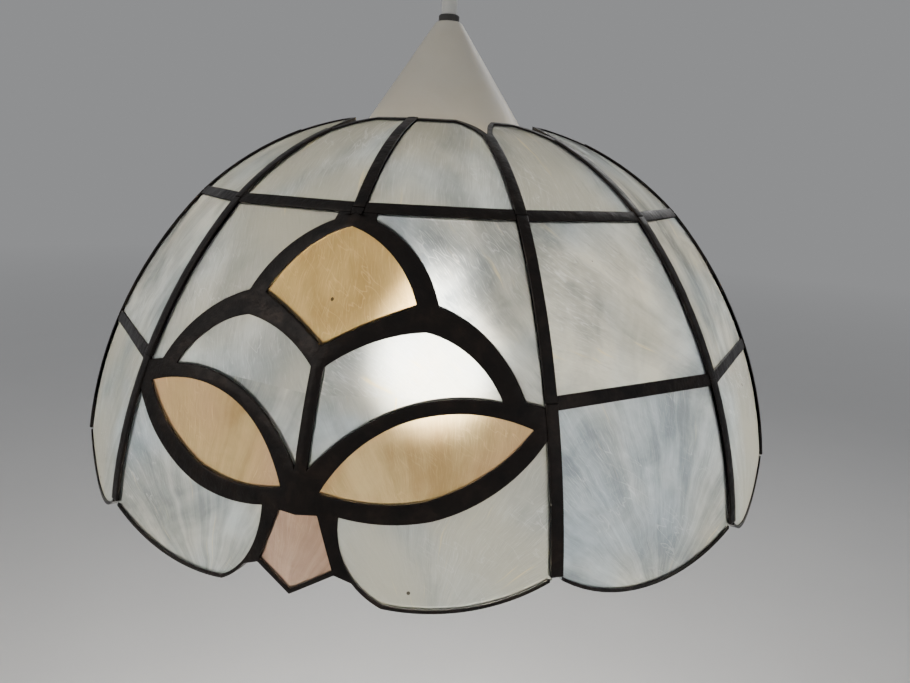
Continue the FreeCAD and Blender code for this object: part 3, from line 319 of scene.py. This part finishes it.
FACET_ANGLE = math.radians(30)
FAN_REACH, LOW_FAN_REACH = 0.11, 0.052    # from a pane's middle to the point its fibres spread from
LOW_TIER_Z, TIER_STEP = -0.272, 0.060
HAZE_SHARE, HAZE_ROUGHNESS, HAZE_IOR = 0.84, 0.32, 1.42
STREAK, SPECK = (0.80, 0.70, 0.46, 1), (0.05, 0.04, 0.03, 1)
SPECK_SIZE, SPECK_SHARE = 0.035, 0.28        # of a cell of the pattern, and of all cells
SCRATCH_WIDTH, FAN_WARP = 0.010, 0.016       # in the noise's own measure, and in metres
FACET_STRIDE, TIER_STRIDE, SLICES = 3.17, 1.71, 9.0     # give each pane its own number and noise
UPPER_Z = (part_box("upper_ring_came")[0].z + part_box("upper_ring_came")[1].z) / 2

MATERIALS = {
    "patina_metal": patina(),
    "pale_shell": shell("pale_shell_look", (0.67, 0.68, 0.685), (0.30, 0.315, 0.33), (0.90, 0.96, 1.0),
                        (1.0, 0.98, 0.90), (0.50, 0.50, 0.46), 0.0),
    "amber_shell": shell("amber_shell_look", (0.66, 0.585, 0.41), (0.36, 0.295, 0.18), (0.95, 0.95, 0.95),
                         (1.0, 0.97, 0.84), (0.47, 0.38, 0.29), 0.23),
    "pink_shell": shell("pink_shell_look", (0.58, 0.50, 0.43), (0.32, 0.26, 0.22), (0.96, 0.96, 1.0),
                        (1.0, 0.95, 0.86), (0.42, 0.34, 0.27), 0.61, FACET_ANGLE / 2),
    "cream_plastic": plastic("cream_plastic_look", (0.86, 0.82, 0.72), (0.82, 0.77, 0.66), (0.3, 0.42),
                             through=0.22),
    "white_plastic": plastic("white_plastic_look", (0.83, 0.82, 0.79), (0.81, 0.80, 0.77)),
    "nylon": plastic("nylon_look", (0.78, 0.77, 0.72), (0.70, 0.69, 0.63), (0.45, 0.6)),
    "cord_sheath": plastic("cord_sheath_look", (0.80, 0.79, 0.75), (0.74, 0.73, 0.68), (0.4, 0.52)),
    "core_sheath": plastic("core_sheath_look", (0.20, 0.11, 0.07), (0.14, 0.08, 0.05), (0.4, 0.5)),
    "grip_rubber": plastic("grip_rubber_look", (0.075, 0.07, 0.065), (0.05, 0.047, 0.044), (0.55, 0.7),
                           0.00006),
    "zinc_steel": metal("zinc_steel_look", (0.62, 0.62, 0.60), (0.46, 0.47, 0.48)),
    "screw_steel": metal("screw_steel_look", (0.66, 0.66, 0.66), (0.52, 0.52, 0.53)),
    "brass": metal("brass_look", (0.80, 0.62, 0.28), (0.60, 0.43, 0.17)),
    "ceramic": plastic("ceramic_look", (0.80, 0.79, 0.75), (0.74, 0.73, 0.69), (0.15, 0.25)),
    "cap_aluminium": metal("cap_aluminium_look", (0.80, 0.80, 0.81), (0.66, 0.66, 0.68)),
    "black_glass": plastic("black_glass_look", (0.02, 0.02, 0.024), (0.012, 0.012, 0.014), (0.1, 0.18)),
}


def lit_glass():
    """Frosted glass that is alight in its globe and dim at its neck."""
    tree = Tree("bulb_glass_look")
    place = tree.place()
    low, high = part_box("bulb_glass")
    frost = tree.noise(place, 700.0, 3.0, 0.5)
    height = tree.fit(tree.parts(place)[2], low.z, high.z)
    colour = tree.ramp(height, (0.0, (1.0, 0.96, 0.89)), (0.26, (1.0, 0.95, 0.87)),
                       (0.44, (0.10, 0.093, 0.084)), (1.0, (0.01, 0.009, 0.008)))
    shader = tree.principled(base_color=(0.9, 0.88, 0.84, 1), roughness=tree.fit(frost, 0.3, 0.7, 0.35, 0.5),
                             emission_color=colour, emission_strength=BULB_STRENGTH)
    return tree.finish(shader.outputs[0])


BULB_STRENGTH = 1000.0
MATERIALS["bulb_glass"] = lit_glass()
MATERIALS["filament"] = plastic("filament_look", (0.9, 0.72, 0.34), (0.8, 0.6, 0.25), (0.4, 0.5))

slot_of = {entry["node"]: entry["material_slot"] for entry in frame["record"]["subparts"]}
top_petal_look = shell("top_petal_look", (0.61, 0.525, 0.35), (0.36, 0.29, 0.17), (0.95, 0.95, 0.95),
                       (1.0, 0.97, 0.84), (0.45, 0.365, 0.235), 0.53, FACET_ANGLE / 2)
for name, piece in nodes.items():
    look = top_petal_look if name.endswith("top_petal") else MATERIALS[slot_of[name]]
    for slot in piece.material_slots:
        slot.material = look
cord_curve.materials.append(MATERIALS["cord_sheath"])


# ------------------------------------------------------------------ came with worn, rounded edges
RING_RADIUS, RING_LEAN = 0.160, math.radians(23)    # where two lengths of a rib meet, and their slope
RIB_EDGE, RING_EDGE, FLOWER_EDGE = 0.0005, 0.0007, 0.00035     # how far the edges are worn back
WELD, JOINT_SLACK = 0.00002, 0.0005          # points closer than this are one; how far a joint's faces stray
FLAT_ANGLE, EDGE_ANGLE, SHADE_ANGLE = math.radians(0.6), math.radians(40), math.radians(38)


def below_ring(face):
    """Whether a rib's face belongs to the length below the middle ring."""
    middle = face.calc_center_median()
    reach = math.hypot(middle.x, middle.y)
    inward = -math.sin(RING_LEAN) / reach
    along = Vector((inward * middle.x, inward * middle.y, math.cos(RING_LEAN)))
    height = along.z * (middle.z - RING_Z) - math.sin(RING_LEAN) * (reach - RING_RADIUS)
    return height < JOINT_SLACK * face.normal.dot(along)


def softened(node, width, clamp, split=None):
    """A copy of a CAD node with its edges rounded, in the node's place.

    clamp keeps a bevel from passing its neighbours.  split parts a node whose solids touch end
    to end, so that each keeps its own end.
    """
    mesh = nodes[node].data.copy()
    whole = bmesh.new()
    for part in ((True, False) if split else (None,)):
        solid = bmesh.new()
        solid.from_mesh(nodes[node].data)
        if split:
            others = [face for face in solid.faces if split(face) != part]
            bmesh.ops.delete(solid, geom=others, context="FACES")
        bmesh.ops.remove_doubles(solid, verts=solid.verts, dist=WELD)
        bmesh.ops.dissolve_limit(solid, angle_limit=FLAT_ANGLE, verts=solid.verts, edges=solid.edges)
        sharp = [edge for edge in solid.edges
                 if len(edge.link_faces) == 2 and edge.calc_face_angle(0.0) > EDGE_ANGLE]
        bmesh.ops.bevel(solid, geom=sharp, offset=width, offset_type="OFFSET", segments=2, profile=0.6,
                        affect="EDGES", clamp_overlap=clamp)
        solid.to_mesh(mesh)
        solid.free()
        whole.from_mesh(mesh)
    whole.to_mesh(mesh)
    whole.free()
    for polygon in mesh.polygons:
        polygon.use_smooth = True
    mesh.set_sharp_from_angle(angle=SHADE_ANGLE)
    piece = bpy.data.objects.new(node + "_worn", mesh)
    bpy.context.scene.collection.objects.link(piece)
    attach(piece, "pendant")
    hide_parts(node)


softened("rib_came", RIB_EDGE, False, below_ring)
softened("upper_ring_came", RING_EDGE, True)
softened("middle_ring_came", RING_EDGE, True)
for n in (1, 2, 3):
    softened(f"flower_{n}_came", FLOWER_EDGE, False)


# ------------------------------------------------------------------ floor and light
def sheet_of(name, side, place):
    mesh = bpy.data.meshes.new(name)
    half = side / 2
    mesh.from_pydata([(-half, -half, 0), (half, -half, 0), (half, half, 0), (-half, half, 0)],
                     [], [(0, 1, 2, 3)])
    piece = bpy.data.objects.new(name, mesh)
    bpy.context.scene.collection.objects.link(piece)
    piece.location = place
    return piece


FLOOR_Z, FLOOR_SIDE = -1.0, 40
BACKDROP, BACKDROP_STRENGTH = (0.80, 0.81, 0.83, 1), 0.36
FADE_FROM, FADE_TO = 1.5, 7.0                # distances over which the floor turns into the backdrop
floor = sheet_of("floor", FLOOR_SIDE, (0, 0, FLOOR_Z))
floor_tree = Tree("floor_look")
floor_place = floor_tree.place()
floor_x, floor_y = floor_tree.parts(floor_place)[:2]
floor_tone = floor_tree.ramp(floor_tree.noise(floor_place, 3.0, 3.0), (0.0, (0.66, 0.66, 0.66)),
                             (1.0, (0.70, 0.70, 0.70)))
floor_surface = floor_tree.principled(base_color=floor_tone, roughness=0.8)
far = floor_tree.add("ShaderNodeEmission", {"Color": BACKDROP, "Strength": BACKDROP_STRENGTH})
fade = floor_tree.fit(floor_tree.length(floor_x, floor_y), FADE_FROM, FADE_TO)
floor.data.materials.append(floor_tree.finish(floor_tree.add(
    "ShaderNodeMixShader", {0: fade, 1: floor_surface.outputs[0], 2: far.outputs[0]}).outputs[0]))

world = bpy.data.worlds.new("studio")
world.use_nodes = True
world.node_tree.nodes["Background"].inputs["Color"].default_value = BACKDROP
world.node_tree.nodes["Background"].inputs["Strength"].default_value = BACKDROP_STRENGTH
bpy.context.scene.world = world


def area_light(name, size, power, place, aim, colour=(1, 1, 1)):
    data = bpy.data.lights.new(name, "AREA")
    data.shape, data.size, data.energy, data.color = "DISK", size, power, colour
    light = bpy.data.objects.new(name, data)
    bpy.context.scene.collection.objects.link(light)
    light.location = place
    light.rotation_euler = (Vector(aim) - Vector(place)).to_track_quat("-Z", "Y").to_euler()


area_light("key", 1.2, 7, (-1.3, -1.2, 0.9), (0, 0, RING_Z), (1.0, 0.98, 0.95))
area_light("fill", 1.4, 2.2, (1.5, -0.9, 0.3), (0, 0, RING_Z), (0.93, 0.96, 1.0))
area_light("back", 1.0, 6, (0.5, 1.6, 0.8), (0, 0, RING_Z))
